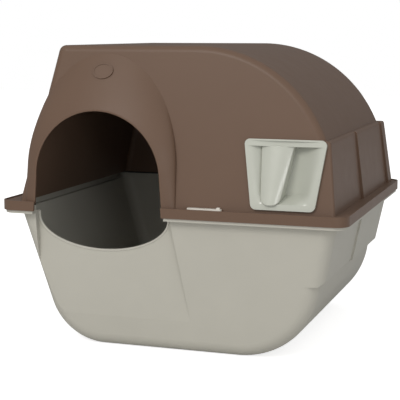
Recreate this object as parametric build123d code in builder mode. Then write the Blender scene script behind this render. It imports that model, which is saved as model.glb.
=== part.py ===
"""Covered litter box that is rolled onto its side to sift its own litter.

Millimetres. +X is to the right of the entrance, +Y to the back, +Z up.
The origin is on the floor, at the middle of the rim's width and depth.
"""
import os
from math import atan, cos, radians, sin, sqrt, tan

from build123d import *

# Overall
rim_width = 570.0
rim_depth = 478.0
rim_corner = 22.0
rim_level = 219.0
hood_height = 248.0
wall = 3.0

# Tub, seen from the front
floor_left_inset = 163.0
floor_right_inset = 178.0
left_roll_radius = 95.0
right_roll_radius = 130.0
left_wall_lean = 17.0
right_wall_lean = 5.0
shoulder_under_rim = 97.0
shoulder_depth = 10.0
shoulder_drop = 7.0
upper_wall_lean = 11.5
side_pad_proud = 3.0
side_pad_start = -12.0
tub_front_foot_inset = 31.0
tub_front_rim_inset = 14.0
tub_edge_radius = 22.0

# Where the tub meets the hood
rim_plate = 4.5
rim_plate_inset = 2.5
collar_rise = 8.5
collar_inset_x = 18.0
collar_inset_y = 13.0
collar_corner = 14.0
gasket_thickness = 2.8
gasket_width = 2.4
gasket_gap = 0.2
flange_plate = 3.0
flange_lip = 1.5
flange_skirt = 3.0
skirt_gap = 0.3

# Entrance
entry_inset = 170.0
mouth_half = 105.0
mouth_spring_rise = 42.0
mouth_foot_half = 109.0
mouth_setback = 4.0
mouth_edge = 2.5
scoop_half = 112.0
scoop_under_rim = 61.0
scoop_spring_drop = 8.0
scoop_bead = 2.4
entry_panel_inset = 27.0
entry_panel_left = 112.0
entry_panel_right_top = 117.0
entry_panel_right_foot = 146.0
entry_panel_foot = 64.0

# Hood, seen from the front
hood_left_inset = 28.5
hood_left_lean = 12.9
hood_corner_front = 55.0
hood_corner_back = 12.0
hood_corner_run = 12.0
dome_right_inset = 23.0
dome_radius = 228.0
face_inset = 13.0
face_lean = 9.2
back_face_lean = 2.0
hood_edge_radius = 12.0

# Porch around the entrance
porch_foot_half = 128.0
porch_half = 126.0
porch_spring_rise = 55.0
porch_top_drop = 9.0
porch_bulge_depth = 0.45
porch_bulge_reach = 0.82
badge_drop = 40.0
badge_width = 34.0
badge_height = 27.0
badge_proud = 1.4
badge_rim = 2.0
badge_sunk = 0.8

# Housing for the waste tray: start, and how far in from the rim each panel of its side has its top and foot
housing_height = 108.0
housing_root_inset = 135.0
housing_panels = ((-rim_depth, 33.0, 21.0), (-22.0, 30.5, 16.5), (190.0, 28.0, 12.0))
housing_edge_radius = 5.0

# Waste tray
tray_inset = 100.5
tray_front_lift = 3.5
tray_front_height = 105.5
tray_front_top_half = 64.5
tray_front_foot_half = 49.0
tray_front_proud = 5.0
tray_front_gap = 0.3
tray_front_corner = 8.0
tray_rim_drop = 8.0
tray_floor_rise = 7.5
tray_top_half = 55.0
tray_foot_half = 42.0
tray_back_inset = 47.0
tray_wall = 2.5
tray_corner = 9.0
tray_hole_gap = 1.5
dish_half_top = 60.0
dish_half_foot = 45.0
dish_depth = 24.0
dish_brow = 0.25
dish_floor = 0.6
dish_run = 16.0
dish_run_draw = 4.0
dish_edge_depth = 0.5
dish_top_margin = 10.5
dish_foot_margin = 9.0
dish_lip_depth = 3.4
dish_lip_margin = 2.5
grip_left_top = -38.0
grip_left_foot = -34.0
grip_right_top = 12.5
grip_right_foot = -5.5
grip_out_top = -2.0
grip_out_foot = 6.0
grip_crown = 5.0
grip_foot_margin = 6.5
grip_top_margin = 9.5
grip_foot_round = 13.5
grip_round = 1.6

# Tray guide
guide_wall = 2.5
guide_gap = 1.2
guide_lip_reach = 9.0
guide_end_gap = 0.3
guide_back_gap = 6.0
ear_rise = 29.0
ear_height = 18.0
ear_reach = 8.0
ear_root = 4.0
ear_corner = 2.0

# Sifting grille
rail_width = 10.0
rail_height = 8.0
rail_edge = 1.0
rail_slant = 3.3
grille_high_shift = 46.0
grille_high_drop = 13.5
grille_thickness = 3.5
grille_frame = 9.0
grille_bar = 4.0
grille_columns = 15
grille_rows = 18
grille_side_gap = 8.0
rail_end_gap = 11.0
rail_side_gap = 3.0
tab_places = (-120.0, 0.0, 120.0)
tab_width = 22.0
tab_reach = 18.0
tab_thickness = 2.5

# Screws and the bosses that they bite into
boss_radius = 5.0
boss_length = 8.0
boss_sink = 0.6
screw_radius = 1.6
screw_fit = 0.05
screw_hole_gap = 0.3
screw_length = 8.0
screw_head_radius = 3.4
screw_head_height = 2.2
screw_hex = 2.0
screw_hex_depth = 1.1

# Rim latches
latch_shift = 4.75
latch_length = 55.0
latch_width = 8.4
latch_plate = 3.2
latch_travel = 14.0
latch_gap = 0.3
latch_stem_length = 12.0
latch_stem_width = 3.0
latch_foot_width = 6.4
latch_foot_height = 2.0
latch_foot_gap = 0.3
latch_pocket = 2.6
latch_slot_gap = 0.4
latch_lug_height = 2.4
latch_lug_length = 5.0

# Levels and places that follow
collar_top = rim_level + collar_rise
flange_under = collar_top + gasket_gap + gasket_thickness
flange_floor = flange_under + flange_plate
flange_level = flange_floor + flange_lip
half_width = rim_width / 2
half_depth = rim_depth / 2
top_level = flange_level + hood_height
floor_left = floor_left_inset - half_width
floor_right = half_width - floor_right_inset
tub_front_foot = half_depth - tub_front_foot_inset
tub_front_rim = half_depth - tub_front_rim_inset
shoulder_level = rim_level - shoulder_under_rim
entry_x = entry_inset - half_width
entry_panel_front = half_depth - entry_panel_inset
scoop_level = rim_level - scoop_under_rim
scoop_spring = rim_level - scoop_spring_drop
mouth_spring = flange_level + mouth_spring_rise
porch_spring = flange_level + porch_spring_rise
porch_top = top_level - porch_top_drop
badge_level = top_level - badge_drop
hood_left_foot = hood_left_inset - half_width
dome_centre_x = half_width - dome_right_inset - dome_radius
face_foot = half_depth - face_inset
housing_top = flange_level + housing_height
housing_root = half_width - housing_root_inset
tray_x = half_width - tray_inset
tray_front_foot = flange_level + tray_front_lift
tray_front_top = tray_front_foot + tray_front_height
tray_foot = tray_front_foot + tray_floor_rise
tray_top = tray_front_top - tray_rim_drop
tray_back = half_depth - tray_back_inset
ear_level = tray_foot + ear_rise
grille_high_x = dome_centre_x - grille_high_shift
grille_high_z = top_level - grille_high_drop
latch_room_left = entry_x + porch_foot_half
latch_room_right = tray_x - tray_front_foot_half
latch_x = (latch_room_left + latch_room_right - latch_travel) / 2 - latch_shift
tub_lean = atan((tub_front_rim - tub_front_foot) / rim_level)
lean = radians(face_lean)
back_lean = radians(back_face_lean)
dome_centre_z = top_level - dome_radius
mouth_y = -half_depth + mouth_setback
latch_y = half_depth - flange_skirt - latch_gap - latch_width / 2
far = rim_width
half_turn = 180.0
os.makedirs("parts", exist_ok=True)


def face_y(level):
    """Y of the hood's front face at a height."""
    return -face_foot + (level - flange_level) * tan(lean)


def back_y(level):
    """Y of the hood's back face at a height."""
    return face_foot - (level - flange_level) * tan(back_lean)


def face_plane(out=0.0):
    """The hood's front face, or a plane parallel to it, seen from outside."""
    origin = (0, -face_foot - out * cos(lean), flange_level + out * sin(lean))
    return Plane(origin=origin, x_dir=(1, 0, 0), z_dir=(0, -cos(lean), sin(lean)))


def leaning_block(foot, foot_level, front_tilt, back_tilt, inset, low, high):
    """A block between a leaning front and a leaning back, drawn in by an inset."""
    def depth(level, tilt):
        return foot - (level - foot_level) * tan(tilt) - inset / cos(tilt)

    with BuildPart() as block:
        with BuildSketch(Plane.YZ):
            Polygon((-depth(low, front_tilt), low), (depth(low, back_tilt), low),
                    (depth(high, back_tilt), high), (-depth(high, front_tilt), high), align=None)
        extrude(amount=far, both=True)
    return block.part


def tub_block(inset, high):
    return leaning_block(tub_front_foot, 0, -tub_lean, -tub_lean, inset, -1, high)


def hood_block(inset, low, high):
    return leaning_block(face_foot, flange_level, lean, back_lean, inset, low, high)


def tub_right_wall(level, inset):
    """X of the tub's lower right wall at a height."""
    tilt = radians(right_wall_lean)
    start_x = floor_right + (right_roll_radius - inset) * cos(tilt)
    start_z = right_roll_radius - (right_roll_radius - inset) * sin(tilt)
    return start_x + (level - start_z) * tan(tilt)


def tub_body(inset, high):
    """The rolled body of the tub, or its hollow where inset is the wall."""
    left_tilt = radians(left_wall_lean)
    left_radius = left_roll_radius - inset
    left_start = left_roll_radius - left_radius * sin(left_tilt)
    left_x = floor_left - left_radius * cos(left_tilt)
    with BuildPart() as body:
        with BuildSketch(Plane.XZ):
            with BuildLine():
                left = CenterArc((floor_left, left_roll_radius), left_radius, 270, left_wall_lean - 90)
                bottom = Line((floor_left, inset), (floor_right, inset))
                right = CenterArc((floor_right, right_roll_radius), right_roll_radius - inset,
                                  270, 90 - right_wall_lean)
                Polyline(left @ 1,
                         (left_x - (high - left_start) * tan(left_tilt), high),
                         (tub_right_wall(high, inset), high),
                         right @ 1)
            make_face()
        extrude(amount=far, both=True)
        add(tub_block(inset, high), mode=Mode.INTERSECT)
        ends = body.faces().filter_by(lambda face: abs(face.normal_at().Y) > 0.9)
        rounded = ends.edges().filter_by(lambda edge: edge.center().Z < high - 1)
        fillet(rounded, tub_edge_radius - inset)
    return body.part


def tub_shoulder(inset, high, proud, start):
    """The wider upper part of the tub's right side, from start to the back."""
    low = shoulder_level + inset
    foot_x = tub_right_wall(low, inset) + shoulder_depth + proud
    foot_z = low + shoulder_drop
    high_x = foot_x + (high - foot_z) * tan(radians(upper_wall_lean))
    corners = [(0, low), (tub_right_wall(low, inset), low), (foot_x, foot_z), (high_x, high), (0, high)]
    with BuildPart() as shoulder:
        with BuildSketch(Plane.XZ.offset(-start - inset)):
            Polygon(*corners, align=None)
        extrude(amount=-2 * far)
        add(tub_block(inset, high), mode=Mode.INTERSECT)
        corner = shoulder.edges().filter_by(
            lambda edge: edge.center().X > foot_x and abs(edge.center().Y) > tub_front_foot - 5
            and edge.length > 50)
        fillet(corner, tub_edge_radius - inset)
    return shoulder.part


def tub_space(inset, high):
    """The tub's whole outside, or its hollow where inset is the wall."""
    slope = (entry_panel_right_foot - entry_panel_right_top) / (rim_level - entry_panel_foot)
    left_x = entry_x - entry_panel_left - inset
    foot_x = entry_x + entry_panel_right_foot + slope * entry_panel_foot + inset
    high_x = foot_x - slope * (high + 1)
    with BuildPart() as space:
        add(tub_body(inset, high))
        add(tub_shoulder(inset, high, 0, -far))
        add(tub_shoulder(inset, high, side_pad_proud, side_pad_start))
        with BuildSketch(Plane.XZ.offset(entry_panel_front - inset)):
            Polygon((left_x, 0), (foot_x, 0), (high_x, high + 1), (left_x, high + 1), align=None)
        extrude(amount=far, mode=Mode.SUBTRACT)
    return space.part


def rim_block(inset_x, inset_y, corner, low, high):
    """A flat block with the rim's rounded outline, drawn in from its edge."""
    with BuildPart() as block:
        with BuildSketch(Plane.XY.offset(low)):
            RectangleRounded(rim_width - 2 * inset_x, rim_depth - 2 * inset_y, corner)
        extrude(amount=high - low)
    return block.part


def corner_trim(inset):
    """What the hood's upper left corner loses: a round that grows towards the front."""
    tilt = radians(hood_left_lean)
    top = top_level - inset
    peak_x = hood_left_foot + (top - flange_level) * tan(tilt) + inset / cos(tilt)
    front = face_y(top_level - hood_corner_front)
    sections = []
    for run, corner in ((0, hood_corner_front), (hood_corner_run, hood_corner_back)):
        radius = corner - inset
        reach = radius * tan(radians(90 - hood_left_lean) / 2)
        foot = (peak_x - reach * sin(tilt), top - reach * cos(tilt))
        head = (peak_x + reach, top)
        with BuildSketch(Plane.XZ.offset(-front - run)) as section:
            with BuildLine():
                RadiusArc(foot, head, radius)
                Polyline(head, (head[0], top + 1), (foot[0] - reach, top + 1), (foot[0] - reach, foot[1]),
                         foot)
            make_face()
        sections.append(section.sketch)
    with BuildPart() as trim:
        loft(sections, ruled=True)
    return trim.part


def dome_body(inset, low):
    """The hood's rolled body, or its hollow where inset is the wall."""
    tilt = radians(hood_left_lean)
    radius = dome_radius - inset
    top = top_level - inset
    right_x = dome_centre_x + radius
    ledge_x = dome_centre_x + sqrt(radius ** 2 - (housing_top - inset - dome_centre_z) ** 2)

    def left_x(level):
        return hood_left_foot + (level - flange_level) * tan(tilt) + inset / cos(tilt)

    with BuildPart() as body:
        with BuildSketch(Plane.XZ):
            with BuildLine():
                Polyline((right_x, dome_centre_z), (right_x, low), (left_x(low), low),
                         (left_x(top), top), (dome_centre_x, top))
                CenterArc((dome_centre_x, dome_centre_z), radius, 0, 90)
            make_face()
        extrude(amount=far, both=True)
        add(hood_block(inset, low, top), mode=Mode.INTERSECT)
        corner = body.edges().filter_by(Axis.Y).filter_by(
            lambda edge: edge.center().Z > top - 1 and edge.center().X < 0)
        fillet(corner, hood_corner_back - inset)
        add(corner_trim(inset), mode=Mode.SUBTRACT)
        ends = body.faces().filter_by(lambda face: abs(face.normal_at().Y) > 0.9)
        rounded = ends.edges().filter_by(lambda edge: edge.center().Z > low + 1)
        fillet(rounded, hood_edge_radius - inset)
        with BuildSketch(Plane.XZ):
            with Locations((ledge_x, low)):
                Rectangle(far, housing_top - inset - low, align=(Align.MIN, Align.MIN))
        extrude(amount=far, both=True, mode=Mode.SUBTRACT)
    return body.part


def housing_body(inset, low, start, top_inset, foot_inset):
    """One panel of the tray housing, running to the back, or its hollow."""
    top_x = half_width - top_inset
    foot_x = half_width - foot_inset
    top = housing_top - inset
    low_x = foot_x + (foot_x - top_x) / (housing_top - flange_level) * (flange_level - low)
    corners = [(housing_root, low), (low_x - inset, low), (top_x - inset, top), (housing_root, top)]
    with BuildPart() as body:
        with BuildSketch(Plane.XZ.offset(-start - inset)):
            Polygon(*corners, align=None)
        extrude(amount=-2 * far)
        add(hood_block(inset, low, top), mode=Mode.INTERSECT)
        side = body.faces().sort_by(Axis.X)[-1]
        rounded = side.edges().filter_by(lambda edge: edge.center().Z > low + 1)
        if start > -half_depth:
            rounded = rounded.filter_by(lambda edge: edge.center().Y > start + inset + 1)
        fillet(rounded, housing_edge_radius - inset)
    return body.part


def hood_space(inset, low):
    """The hood's whole outside, or its hollow where inset is the wall."""
    with BuildPart() as space:
        add(dome_body(inset, low))
        for start, top_inset, foot_inset in housing_panels:
            add(housing_body(inset, low, start, top_inset, foot_inset))
    return space.part


def arch(plane, foot_half, half, spring, top, low):
    """An arch over the entrance, straight sided below its spring."""
    with BuildSketch(plane) as outline:
        with BuildLine():
            Polyline((entry_x - half, spring), (entry_x - foot_half, low),
                     (entry_x + foot_half, low), (entry_x + half, spring))
            EllipticalCenterArc((entry_x, spring), half, top - spring, 0, arc_size=half_turn)
        make_face()
    return outline.sketch


def between(first, second, share):
    return first + (second - first) * share


def porch_body(inset, low, sink, root):
    """The rounded bonnet around the entrance, or its hollow where inset is the wall."""
    edge = mouth_edge - inset * mouth_edge / wall
    start_y = mouth_y + inset
    start_half = mouth_half + edge
    start_foot_half = mouth_foot_half + edge
    start_top = mouth_spring + start_half
    end_y = -face_foot + sink / cos(lean)
    end_half = porch_half - inset
    end_foot_half = porch_foot_half - inset
    end_top = porch_top - inset
    run = end_y + (end_top - flange_level) * tan(lean) - start_y
    drop = (end_top - start_top) * tan(lean)
    crown_share = porch_bulge_depth * (run - drop) / (run - porch_bulge_depth * drop)
    sections = []
    for depth, reach, rise in ((0, 0, 0), (porch_bulge_depth, porch_bulge_reach, crown_share), (1, 1, 1)):
        tilt = atan(depth * tan(lean))
        up = 1 / cos(tilt)
        plane = Plane(origin=(0, between(start_y, end_y, depth), flange_level), x_dir=(1, 0, 0),
                      z_dir=(0, -cos(tilt), sin(tilt)))
        sections.append(arch(plane, between(start_foot_half, end_foot_half, reach),
                             between(start_half, end_half, reach),
                             (between(mouth_spring, porch_spring, reach) - flange_level) * up,
                             (between(start_top, end_top, rise) - flange_level) * up,
                             (low - flange_level) * up))
    with BuildPart() as body:
        loft(sections)
        extrude(sections[-1], amount=-root)
        if inset:
            extrude(sections[0], amount=far)
    return body.part


def trough_half(level, grow):
    """Half of the waste tray's width at a height, grown by a clearance."""
    slope = (tray_top_half - tray_foot_half) / (tray_top - tray_foot)
    return tray_foot_half + (level - tray_foot) * slope + grow


def trough_outline(grow, low, high, corner):
    """The waste tray's section, widening upwards."""
    foot = trough_half(low, grow)
    head = trough_half(high, grow)
    with BuildSketch(Plane.XZ) as outline:
        Polygon((tray_x - foot, low), (tray_x + foot, low), (tray_x + head, high), (tray_x - head, high),
                align=None)
        fillet(outline.vertices().group_by(Axis.Y)[0], corner)
    return outline.sketch


# Tub: one moulding with its rolling sides, shoulder, entry panel, rim plate and collar
with BuildPart() as base_pan:
    add(tub_space(0, rim_level))
    add(rim_block(rim_plate_inset, rim_plate_inset, rim_corner, rim_level - rim_plate, rim_level))
    add(rim_block(collar_inset_x, collar_inset_y, collar_corner, rim_level, collar_top))
    add(tub_space(wall, rim_level), mode=Mode.SUBTRACT)
    add(rim_block(collar_inset_x + wall, collar_inset_y + wall, collar_corner - wall, rim_level, collar_top),
        mode=Mode.SUBTRACT)
    with BuildSketch(Plane.XZ.offset(tub_front_foot / 2)):
        with BuildLine():
            low_edge = EllipticalCenterArc((entry_x, scoop_spring), scoop_half, scoop_spring - scoop_level,
                                           half_turn, arc_size=half_turn)
            Polyline(low_edge @ 1, (entry_x + scoop_half, top_level), (entry_x - scoop_half, top_level),
                     low_edge @ 0)
        make_face()
    extrude(amount=far, mode=Mode.SUBTRACT)
    with BuildLine(Plane.XZ.offset(entry_panel_front - wall / 2)) as bead_path:
        bead_arc = EllipticalCenterArc((entry_x, scoop_spring), scoop_half, scoop_spring - scoop_level,
                                       half_turn, arc_size=half_turn)
        Line((entry_x - scoop_half, rim_level - rim_plate / 2), bead_arc @ 0)
        Line(bead_arc @ 1, (entry_x + scoop_half, rim_level - rim_plate / 2))
    with BuildSketch(Plane(bead_path.wires()[0] @ 0, z_dir=bead_path.wires()[0] % 0)):
        Circle(scoop_bead)
    sweep(path=bead_path.wires()[0])
    for side in (-1, 1):
        with BuildSketch(Plane.XY.offset(rim_level)):
            with Locations((latch_x, side * latch_y)):
                Rectangle(latch_stem_length + 2 * latch_slot_gap, latch_stem_width + 2 * latch_slot_gap)
            with Locations((latch_x + latch_travel / 2, side * latch_y)):
                Rectangle(latch_stem_length + latch_travel, latch_stem_width + 2 * latch_slot_gap)
            with Locations((latch_x + latch_travel, side * latch_y)):
                Rectangle(latch_stem_length + 2 * latch_slot_gap, latch_foot_width + 2 * latch_slot_gap)
        extrude(amount=-rim_plate, mode=Mode.SUBTRACT)
        with BuildSketch(Plane.XY.offset(rim_level - rim_plate)):
            with Locations((latch_x + latch_travel / 2, side * latch_y)):
                Rectangle(latch_stem_length + latch_travel + 2 * latch_slot_gap,
                          latch_foot_width + 2 * latch_slot_gap)
        extrude(amount=latch_pocket, mode=Mode.SUBTRACT)
base_pan.part.label = "base_pan"
export_step(base_pan.part, "parts/base_pan.step")

# Places that the hood shares with what it holds
crown_lean = atan((face_y(porch_top) - mouth_y) / (porch_top - mouth_spring - mouth_half))
badge_y = mouth_y + (badge_level - mouth_spring - mouth_half) * tan(crown_lean)
badge_plane = Plane(origin=(entry_x, badge_y, badge_level), x_dir=(1, 0, 0),
                    z_dir=(0, -cos(crown_lean), sin(crown_lean)))
lip_top = tray_top + guide_gap + guide_wall
guide_front = -face_y(lip_top) - wall / cos(lean) - guide_end_gap
guide_back = back_y(lip_top) - wall / cos(back_lean) - guide_back_gap
ear_x = trough_half(ear_level, guide_gap + guide_wall) + ear_reach
ear_places = [(tray_x + turn * ear_x, ear_level) for turn in (-1, 1)]
ceiling = top_level - wall
tab_level = ceiling - boss_length
tab_x = grille_high_x - tab_reach / 2
ear_planes = [Plane(origin=(0, -guide_front, 0), x_dir=(1, 0, 0), z_dir=(0, -1, 0)),
              Plane(origin=(0, guide_back, 0), x_dir=(-1, 0, 0), z_dir=(0, 1, 0))]
ear_wall_gaps = [-face_y(ear_level + boss_radius) - guide_front, back_y(ear_level + boss_radius) - guide_back]

# Hood: one moulding with porch, tray housing, flange and screw bosses
cover = hood_space(0, flange_floor - wall / 2)
porch_root = hood_corner_run + wall
porch = porch_body(0, flange_under, wall / 2, porch_root + 2 * wall)
channel = rim_block(flange_skirt, flange_skirt, rim_corner - flange_skirt, flange_floor, flange_level)
well = rim_block(collar_inset_x + wall + 1, collar_inset_y + wall + 1, collar_corner - wall,
                 flange_under, flange_level)
room = hood_space(wall, flange_under)
room_above = room & rim_block(0, 0, rim_corner, flange_floor, top_level)
room_in_flange = room & well
lip_groove = channel - cover - porch
with BuildPart() as hood:
    add(cover)
    add(porch)
    add(rim_block(0, 0, rim_corner, rim_level + skirt_gap, flange_level))
    add(rim_block(flange_skirt, flange_skirt, rim_corner - flange_skirt, rim_level + skirt_gap, flange_under),
        mode=Mode.SUBTRACT)
    add(lip_groove, mode=Mode.SUBTRACT)
    add(room_in_flange, mode=Mode.SUBTRACT)
    add(room_above, mode=Mode.SUBTRACT)
    add(porch_body(wall, rim_level, wall, porch_root), mode=Mode.SUBTRACT)
    for plane, wall_gap in zip(ear_planes, ear_wall_gaps):
        turn = plane.x_dir.X
        spots = [(turn * x, z) for x, z in ear_places]
        with BuildSketch(plane):
            with Locations(*spots):
                Circle(boss_radius)
        extrude(amount=wall_gap - boss_sink)
        with BuildSketch(plane):
            with Locations(*spots):
                Circle(screw_radius + screw_fit)
        extrude(amount=screw_length - tab_thickness + 1, mode=Mode.SUBTRACT)
    with BuildSketch(Plane.XY.offset(tab_level)):
        with Locations(*[(tab_x, y) for y in tab_places]):
            Circle(boss_radius)
    extrude(amount=boss_length + boss_sink)
    with BuildSketch(Plane.XY.offset(tab_level)):
        with Locations(*[(tab_x, y) for y in tab_places]):
            Circle(screw_radius + screw_fit)
    extrude(amount=screw_length - tab_thickness + 1, mode=Mode.SUBTRACT)
    with BuildSketch(Plane.XZ.offset(guide_front)):
        add(trough_outline(tray_hole_gap, tray_foot - tray_hole_gap, tray_top + tray_hole_gap, tray_corner))
    extrude(amount=far, mode=Mode.SUBTRACT)
    for side in (-1, 1):
        with BuildSketch(Plane.XY.offset(flange_floor)):
            with Locations((latch_x + latch_travel / 2, side * latch_y)):
                Rectangle(latch_stem_length + latch_travel + 2 * latch_slot_gap,
                          latch_stem_width + 2 * latch_slot_gap)
        extrude(amount=-flange_plate, mode=Mode.SUBTRACT)
    with BuildSketch(badge_plane.offset(-wall / 2)):
        Ellipse(badge_width / 2, badge_height / 2)
    extrude(amount=wall / 2 + badge_proud)
    with BuildSketch(badge_plane.offset(badge_proud)):
        Ellipse(badge_width / 2 - badge_rim, badge_height / 2 - badge_rim)
    extrude(amount=-badge_sunk, mode=Mode.SUBTRACT)
hood.part.label = "hood"
export_step(hood.part, "parts/hood.step")

# Foam gasket in the hood's flange, over the tub's collar, open at the entrance
gasket_inset = (wall - gasket_width) / 2
with BuildPart() as rim_gasket:
    add(rim_block(collar_inset_x + gasket_inset, collar_inset_y + gasket_inset,
                  collar_corner - gasket_inset, collar_top + gasket_gap, flange_under))
    add(rim_block(collar_inset_x + gasket_inset + gasket_width, collar_inset_y + gasket_inset + gasket_width,
                  collar_corner - gasket_inset - gasket_width, collar_top + gasket_gap, flange_under),
        mode=Mode.SUBTRACT)
    with BuildSketch(Plane.XY.offset(collar_top)):
        with Locations((entry_x, -half_depth)):
            Rectangle(2 * scoop_half, half_depth)
    extrude(amount=far, mode=Mode.SUBTRACT)
rim_gasket.part.label = "rim_gasket"
export_step(rim_gasket.part, "parts/rim_gasket.step")

# Tray guide: a trough that carries the tray, with screw ears at both ends and a lip over the tray
guide_low = tray_foot - guide_gap - guide_wall
with BuildPart() as tray_guide:
    with BuildSketch(Plane.XZ.offset(guide_front)):
        add(trough_outline(guide_gap + guide_wall, guide_low, lip_top, tray_corner + guide_gap + guide_wall))
        add(trough_outline(guide_gap, tray_foot - guide_gap, lip_top - guide_wall, tray_corner + guide_gap),
            mode=Mode.SUBTRACT)
        with Locations((tray_x - guide_lip_reach, lip_top)):
            Rectangle(2 * tray_top_half, guide_lip_reach, mode=Mode.SUBTRACT)
    extrude(amount=-guide_front - guide_back)
    for plane in ear_planes:
        turn = plane.x_dir.X
        for side in (-1, 1):
            with BuildSketch(plane):
                with Locations((turn * (tray_x + side * (ear_x - ear_root / 2)), ear_level)):
                    RectangleRounded(2 * ear_reach + ear_root, ear_height, ear_corner)
            extrude(amount=-tab_thickness)
    with BuildSketch(Plane.XZ.offset(guide_front)):
        add(trough_outline(guide_gap, tray_foot - guide_gap, lip_top - guide_wall, tray_corner + guide_gap))
    extrude(amount=-guide_front - guide_back, mode=Mode.SUBTRACT)
    for plane in ear_planes:
        with BuildSketch(plane):
            with Locations(*[(plane.x_dir.X * x, z) for x, z in ear_places]):
                Circle(screw_radius + screw_hole_gap)
        extrude(amount=-tab_thickness, mode=Mode.SUBTRACT)
tray_guide.part.label = "tray_guide"
export_step(tray_guide.part, "parts/tray_guide.step")

# Sifting grille: from a rail on the guide's lip up to screw tabs under the ceiling
rail_right = tray_x + trough_half(lip_top, guide_gap + guide_wall) - rail_side_gap
rail_left = rail_right - rail_width
grille_low_x = rail_left + rail_width / 2
grille_low_z = lip_top + rail_height / 2
grille_slope = atan((grille_high_z - grille_low_z) / (grille_low_x - grille_high_x))
grille_run = (grille_low_x - grille_high_x) / cos(grille_slope)
grille_plane = Plane(origin=(grille_low_x, 0, grille_low_z), x_dir=(-cos(grille_slope), 0, sin(grille_slope)),
                     z_dir=(sin(grille_slope), 0, cos(grille_slope)))
front_clearance = wall / cos(lean) + grille_side_gap
back_clearance = wall / cos(back_lean) + grille_side_gap
low_front = -face_y(lip_top + rail_height) - front_clearance
low_back = back_y(lip_top + rail_height) - back_clearance
high_front = -face_y(grille_high_z + grille_thickness) - front_clearance
high_back = back_y(grille_high_z + grille_thickness) - back_clearance
with BuildPart() as sifting_grille:
    with BuildSketch(grille_plane):
        Polygon((0, -low_back), (grille_run, -high_back), (grille_run, high_front), (0, low_front),
                align=None)
    extrude(amount=grille_thickness)
    with BuildSketch(Plane.XZ.offset(low_front - rail_end_gap)):
        Polygon((rail_left, lip_top), (rail_right, lip_top), (rail_right, lip_top + rail_edge),
                (rail_right - rail_slant, lip_top + rail_height), (rail_left, lip_top + rail_height),
                align=None)
    extrude(amount=2 * rail_end_gap - low_front - low_back)
    for y in tab_places:
        with BuildSketch(Plane.XY.offset(tab_level)):
            with Locations((grille_high_x + tab_thickness, y)):
                Rectangle(tab_reach + tab_thickness, tab_width, align=(Align.MAX, Align.CENTER))
        extrude(amount=-tab_thickness)
        with BuildSketch(Plane.XY.offset(tab_level)):
            with Locations((tab_x, y)):
                Circle(screw_radius + screw_hole_gap)
        extrude(amount=-tab_thickness, mode=Mode.SUBTRACT)
    pitch_x = (grille_run - 2 * grille_frame + grille_bar) / grille_columns
    pitch_y = (high_front + high_back - 2 * grille_frame + grille_bar) / grille_rows
    with BuildSketch(grille_plane):
        with Locations((grille_run / 2, (high_front - high_back) / 2)):
            with GridLocations(pitch_x, pitch_y, grille_columns, grille_rows):
                Rectangle(pitch_x - grille_bar, pitch_y - grille_bar)
    extrude(amount=grille_thickness, mode=Mode.SUBTRACT)
sifting_grille.part.label = "sifting_grille"
export_step(sifting_grille.part, "parts/sifting_grille.step")

# Screws: two at each end of the guide and one in each tab of the grille
screw_planes = []
for plane in ear_planes:
    for x, z in ear_places:
        screw_planes.append(Plane(origin=(x, plane.origin.Y - plane.z_dir.Y * tab_thickness, z),
                                  x_dir=plane.x_dir, z_dir=-plane.z_dir))
for y in tab_places:
    screw_planes.append(Plane(origin=(tab_x, y, tab_level - tab_thickness), x_dir=(1, 0, 0),
                              z_dir=(0, 0, -1)))
with BuildPart() as screws:
    for plane in screw_planes:
        with BuildSketch(plane):
            Circle(screw_head_radius)
        extrude(amount=screw_head_height)
        with BuildSketch(plane):
            Circle(screw_radius)
        extrude(amount=-screw_length)
        with BuildSketch(plane.offset(screw_head_height)):
            RegularPolygon(screw_hex, 6)
        extrude(amount=-screw_hex_depth, mode=Mode.SUBTRACT)
screws.part.label = "screws"
export_step(screws.part, "parts/screws.step")

# Waste tray: a trough whose leaning front carries a dish with a grip across it
plate_low = (tray_front_foot - flange_level) / cos(lean)
plate_high = (tray_front_top - flange_level) / cos(lean)
grip_low = plate_low + grip_foot_margin
grip_high = plate_high - grip_top_margin


def behind_face(out):
    """Everything behind a plane parallel to the hood's front face."""
    edge = out / cos(lean)
    with BuildPart() as space:
        with BuildSketch(Plane.YZ):
            Polygon((face_y(0) - edge, 0), (far, 0), (far, top_level), (face_y(top_level) - edge, top_level),
                    align=None)
        extrude(amount=far, both=True)
    return space.part


def across_face(height, across, out):
    """A level cut through the tray's front: X to the right, Y towards the inside."""
    front = face_plane(out)
    centre = front.origin + front.y_dir * height + front.x_dir * across
    return Plane(origin=centre, x_dir=(1, 0, 0), z_dir=-front.y_dir)


def dish_section(height, half, depth):
    """A smooth hollow across the tray's front, at a height up it."""
    with BuildSketch(across_face(height, tray_x, tray_front_proud)) as section:
        with BuildLine():
            Line((half, 1), (half, 0))
            Bezier((half, 0), (half * (1 - dish_brow), 0), (half * dish_floor, -depth), (0, -depth))
            Bezier((0, -depth), (-half * dish_floor, -depth), (half * (dish_brow - 1), 0), (-half, 0))
            Polyline((-half, 0), (-half, 1), (half, 1))
        make_face()
    return section.sketch


def dish(grow):
    """The hollow that fingers reach into, grown by the tray's wall."""
    foot = plate_low + dish_foot_margin - grow
    head = plate_high - dish_top_margin + grow
    with BuildPart() as body:
        loft([dish_section(foot, dish_half_foot - dish_run_draw, grow + dish_edge_depth),
              dish_section(foot + dish_run, dish_half_foot, dish_depth + grow),
              dish_section(head, dish_half_top, dish_depth + grow)], ruled=True)
    return body.part


def dish_lip():
    """The shallow end of the dish, up to the thin top edge of the tray's front."""
    low = plate_high - dish_top_margin - 1
    with BuildPart() as body:
        loft([dish_section(low, dish_half_top, dish_lip_depth),
              dish_section(plate_high - dish_lip_margin, dish_half_top, dish_lip_depth)], ruled=True)
    return body.part


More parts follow.
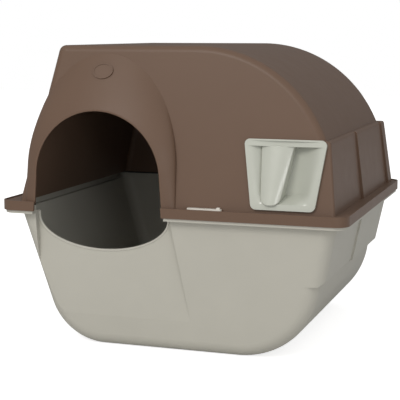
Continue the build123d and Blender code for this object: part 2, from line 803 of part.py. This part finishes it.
def grip():
    """The tapering tongue across the dish: crowned, round at its foot, nearest the hand at its foot."""
    sections = []
    for height, left, right, out in ((grip_low, grip_left_foot, grip_right_foot, grip_out_foot),
                                     (grip_high, grip_left_top, grip_right_top, grip_out_top)):
        half = (right - left) / 2
        with BuildSketch(across_face(height, tray_x + left + half, tray_front_proud)) as section:
            with BuildLine():
                Polyline((half, out - grip_crown), (half, -dish_depth - tray_wall / 2),
                         (-half, -dish_depth - tray_wall / 2), (-half, out - grip_crown))
                ThreePointArc((-half, out - grip_crown), (0, out), (half, out - grip_crown))
            make_face()
        sections.append(section.sketch)
    with BuildPart() as body:
        loft(sections, ruled=True)
        foot_face = body.faces().sort_by(Axis.Z)[0]
        corners = foot_face.edges().filter_by(lambda edge: abs((edge % 0.5).X) < 0.3)
        fillet(corners, grip_foot_round)
        front_face = body.faces().sort_by(Axis.Y)[0]
        fillet(front_face.edges(), grip_round)
    return body.part


def trough_block(inset, high, out):
    """The tray's trough behind its leaning front, or its hollow where inset is the tray's wall."""
    with BuildPart() as block:
        with BuildSketch(Plane.XZ.offset(half_depth)):
            add(trough_outline(-inset, tray_foot + inset, high, tray_corner - inset))
        extrude(amount=inset - half_depth - tray_back)
        add(behind_face(out), mode=Mode.INTERSECT)
    return block.part


front_middle = tray_front_proud / 2
dish_shell = dish(tray_wall) & behind_face(front_middle)
tongue = grip() - (behind_face(front_middle) - trough_block(0, tray_top, front_middle))
with BuildPart() as waste_tray:
    add(trough_block(0, tray_top, front_middle))
    add(trough_block(tray_wall, top_level, -tray_wall), mode=Mode.SUBTRACT)
    with BuildSketch(face_plane(tray_front_gap)) as front:
        Polygon((tray_x - tray_front_foot_half, plate_low), (tray_x + tray_front_foot_half, plate_low),
                (tray_x + tray_front_top_half, plate_high), (tray_x - tray_front_top_half, plate_high),
                align=None)
        fillet(front.vertices().group_by(Axis.Y)[0], tray_corner)
        fillet(front.vertices().group_by(Axis.Y)[-1], tray_front_corner)
    extrude(amount=tray_front_proud - tray_front_gap)
    add(dish_shell)
    add(dish(0), mode=Mode.SUBTRACT)
    add(dish_lip(), mode=Mode.SUBTRACT)
    add(tongue)
waste_tray.part.label = "waste_tray"
export_step(waste_tray.part, "parts/waste_tray.step")

def rim_latch(side):
    """A sliding plate on the flange, a stem through both rims and a foot under the tub's rim."""
    foot_top = rim_level - rim_plate + latch_pocket - latch_foot_gap
    plate_under = flange_floor + latch_gap
    middle = side * latch_y
    with BuildPart() as latch:
        with BuildSketch(Plane.XY.offset(plate_under)):
            with Locations((latch_x, middle)):
                RectangleRounded(latch_length, latch_width, latch_width / 4)
        extrude(amount=latch_plate)
        with BuildSketch(Plane.XY.offset(plate_under + latch_plate)):
            with Locations((latch_x + latch_length / 2 - latch_lug_length, middle)):
                Rectangle(latch_lug_length, latch_width / 2)
        extrude(amount=latch_lug_height)
        with BuildSketch(Plane.XY.offset(foot_top)):
            with Locations((latch_x, middle)):
                Rectangle(latch_stem_length, latch_stem_width)
        extrude(amount=plate_under - foot_top)
        with BuildSketch(Plane.XY.offset(foot_top)):
            with Locations((latch_x, middle)):
                Rectangle(latch_stem_length, latch_foot_width)
        extrude(amount=-latch_foot_height)
    return latch.part


# Rim latches, front and back
with BuildPart() as front_latch:
    add(rim_latch(-1))
front_latch.part.label = "front_latch"
export_step(front_latch.part, "parts/front_latch.step")

with BuildPart() as rear_latch:
    add(rim_latch(1))
rear_latch.part.label = "rear_latch"
export_step(rear_latch.part, "parts/rear_latch.step")
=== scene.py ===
"""Covered litter box that rolls onto its side: finishes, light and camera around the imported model.

Metres. +X is to the right of the entrance, -Y is the front, +Z up, and the floor is at z = 0.
"""

import bpy
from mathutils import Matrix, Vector

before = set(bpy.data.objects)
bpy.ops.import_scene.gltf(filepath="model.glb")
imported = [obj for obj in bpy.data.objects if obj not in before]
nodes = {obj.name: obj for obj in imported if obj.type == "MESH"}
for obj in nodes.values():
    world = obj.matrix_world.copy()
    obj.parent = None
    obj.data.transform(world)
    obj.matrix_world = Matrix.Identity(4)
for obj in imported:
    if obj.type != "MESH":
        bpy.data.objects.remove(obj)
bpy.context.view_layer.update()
scene = bpy.context.scene

# Camera at the photograph's place
CAMERA_PLACE = Vector((0.616, -1.877, 0.505))
CAMERA_AIM = Vector((-0.0232, 0.0, 0.2141))
FOCAL_PIXELS = 1150.4
FRAME_PIXELS = 400
SENSOR_MM = 36.0
CAMERA_REACH = 50.0

# Colours
WHITE = (1.0, 1.0, 1.0)
WARM_WHITE = (1.0, 0.98, 0.95)
COVER_BROWN = (0.130, 0.080, 0.054)
TUB_PALE = (0.44, 0.425, 0.37)
TRAY_PALE = (0.45, 0.46, 0.40)
LATCH_PALE = (0.66, 0.63, 0.57)
INNER_DARK = (0.030, 0.024, 0.020)
FOAM_BLACK = (0.02, 0.02, 0.02)
ZINC = (0.55, 0.54, 0.52)
FLOOR_GREY = (0.7, 0.7, 0.7)

# Moulded plastic. Scales are in waves to the metre, depths in metres
FLOW_SCALE = 9.0
FLOW_SHARE = 0.7
CLOUD_SCALE = 38.0
CLOUD_SHARE = 0.3
NOISE_LOW = 0.3
NOISE_HIGH = 0.7
ROUGHNESS_SPREAD = 0.015
SPECK_SCALE = 2400.0
SPECK_START = 0.62
SPECK_FULL = 0.8
SPECK_SHARE = 0.22
SPECK_DARKNESS = 0.72
COAT_ROUGHNESS = 0.12

# Foam
CELL_SCALE = 1600.0
CELL_DEPTH = 0.0003
CELL_DARK = 0.5
CELL_LIGHT = 1.6
FOAM_ROUGHNESS = 0.9

# Plated steel
STAIN_SCALE = 260.0
STAIN_DARK = 0.8
STAIN_LIGHT = 1.1
STEEL_ROUGHNESS = (0.28, 0.45)

# Floor. Its glow is seen by the camera alone and brings it near the backdrop's white
FLOOR_SIZE = 14.0
FLOOR_ROUGHNESS = 0.9
FLOOR_SPECULAR = 0.1
FLOOR_GLOW = 0.74

# Studio light from all round, strongest from the front, the right and above
BACKDROP_STRENGTH = 1.0
WORLD_TOWARDS = (0.3, -0.6, 0.45)
WORLD_FALL_START = -0.6
WORLD_FALL_END = 0.95
WORLD_DIM = 0.16
WORLD_BRIGHT = 1.0

# Soft key from the front, high and to the left, and a small card that lights the inside
# through the entrance
KEY_PLACE = (-0.5, -2.3, 1.9)
KEY_AIM = (0, 0, 0.25)
KEY_SIZE = (1.2, 1.0)
KEY_POWER = 26.0
CARD_PLACE = (1.1, -1.7, 0.5)
CARD_AIM = (-0.2, -0.1, 0.2)
CARD_SIZE = (0.4, 0.4)
CARD_POWER = 2.5


def face_towards(thing, aim):
    """Turn a camera or light at its place to look at a point."""
    thing.rotation_euler = (Vector(aim) - thing.location).to_track_quat("-Z", "Y").to_euler()


def make_camera():
    data = bpy.data.cameras.new("camera")
    data.sensor_fit = "HORIZONTAL"
    data.sensor_width = SENSOR_MM
    data.lens = FOCAL_PIXELS * SENSOR_MM / FRAME_PIXELS
    data.clip_end = CAMERA_REACH
    camera = bpy.data.objects.new("camera", data)
    camera.location = CAMERA_PLACE
    face_towards(camera, CAMERA_AIM)
    scene.collection.objects.link(camera)
    scene.camera = camera


def rgba(colour, lift=1.0):
    return tuple(channel * lift for channel in colour) + (1.0,)


def add_node(tree, kind, **settings):
    node = tree.nodes.new(kind)
    for key, value in settings.items():
        setattr(node, key, value)
    return node


def add_range(tree, source, low, high, low_value, high_value):
    """A value that runs from low_value to high_value while the source runs from low to high."""
    node = add_node(tree, "ShaderNodeMapRange")
    node.inputs["From Min"].default_value = low
    node.inputs["From Max"].default_value = high
    node.inputs["To Min"].default_value = low_value
    node.inputs["To Max"].default_value = high_value
    tree.links.new(source, node.inputs["Value"])
    return node.outputs["Result"]


class Shader:
    """A material with one Principled shader and short calls for its nodes."""

    def __init__(self, name):
        self.material = bpy.data.materials.new(name)
        self.material.use_nodes = True
        self.tree = self.material.node_tree
        self.principled = self.tree.nodes["Principled BSDF"]
        self.place = self.add("ShaderNodeTexCoord").outputs["Object"]

    def add(self, kind, **settings):
        return add_node(self.tree, kind, **settings)

    def link(self, source, target):
        self.tree.links.new(source, target)

    def drive(self, name, source):
        self.link(source, self.principled.inputs[name])

    def fix(self, name, value):
        self.principled.inputs[name].default_value = value

    def noise(self, scale, detail=2.0, roughness=0.5):
        node = self.add("ShaderNodeTexNoise")
        node.inputs["Scale"].default_value = scale
        node.inputs["Detail"].default_value = detail
        node.inputs["Roughness"].default_value = roughness
        self.link(self.place, node.inputs["Vector"])
        return node.outputs["Fac"]

    def ramp(self, source, low, high, low_value, high_value):
        return add_range(self.tree, source, low, high, low_value, high_value)

    def mix(self, factor, first, second):
        node = self.add("ShaderNodeMix", data_type="RGBA")
        self.link(factor, node.inputs["Factor"])
        for value, socket in ((first, node.inputs["A"]), (second, node.inputs["B"])):
            if isinstance(value, tuple):
                socket.default_value = value
            else:
                self.link(value, socket)
        return node.outputs["Result"]

    def maths(self, operation, first, second):
        node = self.add("ShaderNodeMath", operation=operation)
        for value, socket in zip((first, second), node.inputs):
            if isinstance(value, float):
                socket.default_value = value
            else:
                self.link(value, socket)
        return node.outputs["Value"]

    def bump(self, height, distance):
        node = self.add("ShaderNodeBump")
        node.inputs["Distance"].default_value = distance
        self.link(height, node.inputs["Height"])
        return node.outputs["Normal"]


def moulded_plastic(name, colour, roughness, grain, grain_depth, specular=0.5, coat=0.0, mottle=0.02):
    """Injection moulded plastic: fine mould grain, dark specks and faint flow mottling."""
    look = Shader(name)
    flow = look.noise(FLOW_SCALE, detail=3.0, roughness=0.55)
    cloud = look.noise(CLOUD_SCALE)
    blotch = look.maths("ADD", look.maths("MULTIPLY", flow, FLOW_SHARE),
                        look.maths("MULTIPLY", cloud, CLOUD_SHARE))
    tone = look.ramp(blotch, NOISE_LOW, NOISE_HIGH, 0.0, 1.0)
    base = look.mix(tone, rgba(colour, 1.0 - mottle), rgba(colour, 1.0 + mottle))
    speck = look.ramp(look.noise(SPECK_SCALE, detail=1.0), SPECK_START, SPECK_FULL, 0.0, SPECK_SHARE)
    look.drive("Base Color", look.mix(speck, base, rgba(colour, SPECK_DARKNESS)))
    smooth = roughness - ROUGHNESS_SPREAD
    dull = roughness + ROUGHNESS_SPREAD
    look.drive("Roughness", look.ramp(cloud, NOISE_LOW, NOISE_HIGH, smooth, dull))
    look.drive("Normal", look.bump(look.noise(grain, roughness=0.6), grain_depth))
    look.fix("Specular IOR Level", specular)
    look.fix("Coat Weight", coat)
    look.fix("Coat Roughness", COAT_ROUGHNESS)
    return look.material


def foam(name, colour):
    """Closed-cell foam with small dark cells."""
    look = Shader(name)
    cells = look.add("ShaderNodeTexVoronoi")
    cells.inputs["Scale"].default_value = CELL_SCALE
    look.link(look.place, cells.inputs["Vector"])
    depth = cells.outputs["Distance"]
    look.drive("Base Color", look.mix(depth, rgba(colour, CELL_DARK), rgba(colour, CELL_LIGHT)))
    look.drive("Normal", look.bump(depth, CELL_DEPTH))
    look.fix("Roughness", FOAM_ROUGHNESS)
    return look.material


def plated_steel(name, colour):
    """Zinc plated steel with cloudy stains."""
    look = Shader(name)
    stain = look.noise(STAIN_SCALE)
    look.drive("Base Color", look.mix(stain, rgba(colour, STAIN_DARK), rgba(colour, STAIN_LIGHT)))
    look.drive("Roughness", look.ramp(stain, NOISE_LOW, NOISE_HIGH, *STEEL_ROUGHNESS))
    look.fix("Metallic", 1.0)
    return look.material


def make_finishes():
    """One material for each node of the frame."""
    cover = moulded_plastic("cover_plastic", COVER_BROWN, roughness=0.40, grain=1300.0,
                            grain_depth=0.00005, specular=0.24)
    tub = moulded_plastic("tub_plastic", TUB_PALE, roughness=0.44, grain=1100.0,
                          grain_depth=0.00005, specular=0.28)
    tray = moulded_plastic("tray_plastic", TRAY_PALE, roughness=0.22, grain=700.0,
                           grain_depth=0.00002, coat=0.3, mottle=0.03)
    front, rear = (moulded_plastic(name, LATCH_PALE, roughness=0.3, grain=900.0, grain_depth=0.00002)
                   for name in ("latch_plastic", "rear_latch_plastic"))
    guide = moulded_plastic("guide_plastic", INNER_DARK, roughness=0.5, grain=900.0,
                            grain_depth=0.00004, mottle=0.03)
    grille = moulded_plastic("grille_plastic", INNER_DARK, roughness=0.45, grain=900.0,
                             grain_depth=0.00004, mottle=0.03)
    return {
        "hood": cover,
        "base_pan": tub,
        "waste_tray": tray,
        "front_latch": front,
        "rear_latch": rear,
        "tray_guide": guide,
        "sifting_grille": grille,
        "rim_gasket": foam("gasket_foam", FOAM_BLACK),
        "screws": plated_steel("screw_steel", ZINC),
    }


def dress(finishes):
    for name, material in finishes.items():
        materials = nodes[name].data.materials
        materials.clear()
        materials.append(material)


def make_floor():
    bpy.ops.mesh.primitive_plane_add(size=FLOOR_SIZE, location=(0, 0, 0))
    floor = bpy.context.object
    floor.name = "floor"
    look = Shader("floor_white")
    look.fix("Base Color", rgba(FLOOR_GREY))
    look.fix("Roughness", FLOOR_ROUGHNESS)
    look.fix("Specular IOR Level", FLOOR_SPECULAR)
    look.fix("Emission Color", rgba(WHITE))
    to_camera = look.add("ShaderNodeLightPath").outputs["Is Camera Ray"]
    look.drive("Emission Strength", look.maths("MULTIPLY", to_camera, FLOOR_GLOW))
    floor.data.materials.append(look.material)


def make_light(name, place, aim, size, power, colour):
    data = bpy.data.lights.new(name, "AREA")
    data.shape = "RECTANGLE"
    data.size, data.size_y = size
    data.energy = power
    data.color = colour
    light = bpy.data.objects.new(name, data)
    light.location = place
    face_towards(light, aim)
    scene.collection.objects.link(light)


def make_world():
    """A white backdrop whose light comes mostly from one side of the studio."""
    world = bpy.data.worlds.new("studio")
    world.use_nodes = True
    tree = world.node_tree
    backdrop = tree.nodes["Background"]
    backdrop.inputs["Strength"].default_value = BACKDROP_STRENGTH
    way = add_node(tree, "ShaderNodeTexCoord")
    facing = add_node(tree, "ShaderNodeVectorMath", operation="DOT_PRODUCT")
    facing.inputs[1].default_value = WORLD_TOWARDS
    tree.links.new(way.outputs["Generated"], facing.inputs[0])
    strength = add_range(tree, facing.outputs["Value"], WORLD_FALL_START, WORLD_FALL_END,
                         WORLD_DIM, WORLD_BRIGHT)
    lighting = add_node(tree, "ShaderNodeBackground")
    tree.links.new(strength, lighting.inputs["Strength"])
    for background in (backdrop, lighting):
        background.inputs["Color"].default_value = rgba(WHITE)
    ray = add_node(tree, "ShaderNodeLightPath")
    mix = add_node(tree, "ShaderNodeMixShader")
    tree.links.new(ray.outputs["Is Camera Ray"], mix.inputs["Fac"])
    tree.links.new(lighting.outputs["Background"], mix.inputs[1])
    tree.links.new(backdrop.outputs["Background"], mix.inputs[2])
    tree.links.new(mix.outputs["Shader"], tree.nodes["World Output"].inputs["Surface"])
    scene.world = world


scene.view_settings.view_transform = "Standard"
dress(make_finishes())
make_camera()
make_floor()
make_world()
make_light("key", KEY_PLACE, KEY_AIM, KEY_SIZE, KEY_POWER, WARM_WHITE)
make_light("inner_card", CARD_PLACE, CARD_AIM, CARD_SIZE, CARD_POWER, WHITE)
